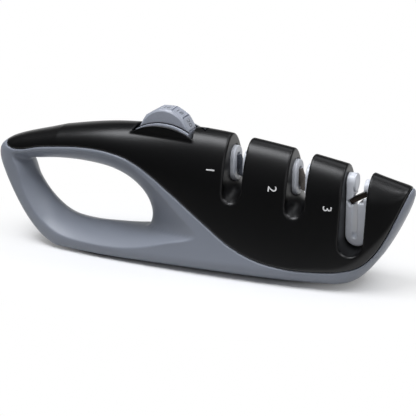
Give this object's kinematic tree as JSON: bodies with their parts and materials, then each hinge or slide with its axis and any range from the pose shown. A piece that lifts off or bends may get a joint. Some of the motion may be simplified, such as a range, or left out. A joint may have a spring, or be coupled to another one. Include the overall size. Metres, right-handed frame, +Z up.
{
  "type": "knife sharpener",
  "caption": "Hand-held pull-through sharpener with a handle loop, knife slots with crossing abrasive sticks tilted by an angle dial, and a scissors slot with a carbide bar.",
  "frame": {"origin": "middle of the length and of the width, on the surface that the base rests on", "axes": "+X along the length to the nose, +Y across the body away from the pictured side, +Z up"},
  "size_m": [0.2294, 0.043, 0.081],
  "materials": {
    "black_housing": "satin with a fine grain",
    "grey_shell": "satin",
    "pale_grey": "satin",
    "acetal": "smooth",
    "pad_rubber": "matt",
    "steel": "drawn",
    "coarse_grit": "rough bonded grit",
    "fine_grit": "fine bonded grit",
    "carbide": "ground"
  },
  "bodies": {
    "case": {"upper_housing": "black_housing", "lower_shell": "grey_shell", "base_pad": "pad_rubber", "dial_axle": "steel", "dial_cradle": "grey_shell", "detent_spring": "steel", "coarse_left_guide": "pale_grey", "coarse_right_guide": "pale_grey", "fine_left_guide": "pale_grey", "fine_right_guide": "pale_grey", "coarse_left_pin": "steel", "coarse_right_pin": "steel", "fine_left_pin": "steel", "fine_right_pin": "steel", "scissors_guide": "pale_grey", "carbide_bar": "carbide", "case_screw_1": "steel", "case_screw_2": "steel", "case_screw_3": "steel"},
    "dial": {"angle_dial": "pale_grey"},
    "lift": {"lift_frame": "acetal"},
    "coarse_left": {"coarse_left_holder": "acetal", "coarse_left_stick": "coarse_grit"},
    "coarse_right": {"coarse_right_holder": "acetal", "coarse_right_stick": "coarse_grit"},
    "fine_left": {"fine_left_holder": "acetal", "fine_left_stick": "fine_grit"},
    "fine_right": {"fine_right_holder": "acetal", "fine_right_stick": "fine_grit"}
  },
  "joints": [
    {"name": "dial_turn", "type": "hinge", "parent": "case", "child": "dial", "pos_m": [-0.0171, 0, 0.067], "axis": [0, -1, 0], "range_deg": [-90, 60]},
    {"name": "lift_slide", "type": "slide", "parent": "case", "child": "lift", "axis": [0, 0, 1], "range_m": [-0.00044, 0.00066]},
    {"name": "coarse_left_tilt", "type": "hinge", "parent": "case", "child": "coarse_left", "pos_m": [0.0137, 0, 0.057], "axis": [0, -1, 0], "range_deg": [-6.02, 4.02]},
    {"name": "coarse_right_tilt", "type": "hinge", "parent": "case", "child": "coarse_right", "pos_m": [0.0347, 0, 0.057], "axis": [0, -1, 0], "range_deg": [-4.02, 6.02]},
    {"name": "fine_left_tilt", "type": "hinge", "parent": "case", "child": "fine_left", "pos_m": [0.047, 0, 0.0535], "axis": [0, -1, 0], "range_deg": [-6.02, 4.02]},
    {"name": "fine_right_tilt", "type": "hinge", "parent": "case", "child": "fine_right", "pos_m": [0.068, 0, 0.0535], "axis": [0, -1, 0], "range_deg": [-4.02, 6.02]}
  ],
  "couplings": [
    {"joint": "lift_slide", "follows": "dial_turn", "m_per_rad": -0.00041},
    {"joint": "coarse_left_tilt", "follows": "dial_turn", "ratio": 0.066667},
    {"joint": "coarse_right_tilt", "follows": "dial_turn", "ratio": -0.066667},
    {"joint": "fine_left_tilt", "follows": "dial_turn", "ratio": 0.066667},
    {"joint": "fine_right_tilt", "follows": "dial_turn", "ratio": -0.066667}
  ]
}
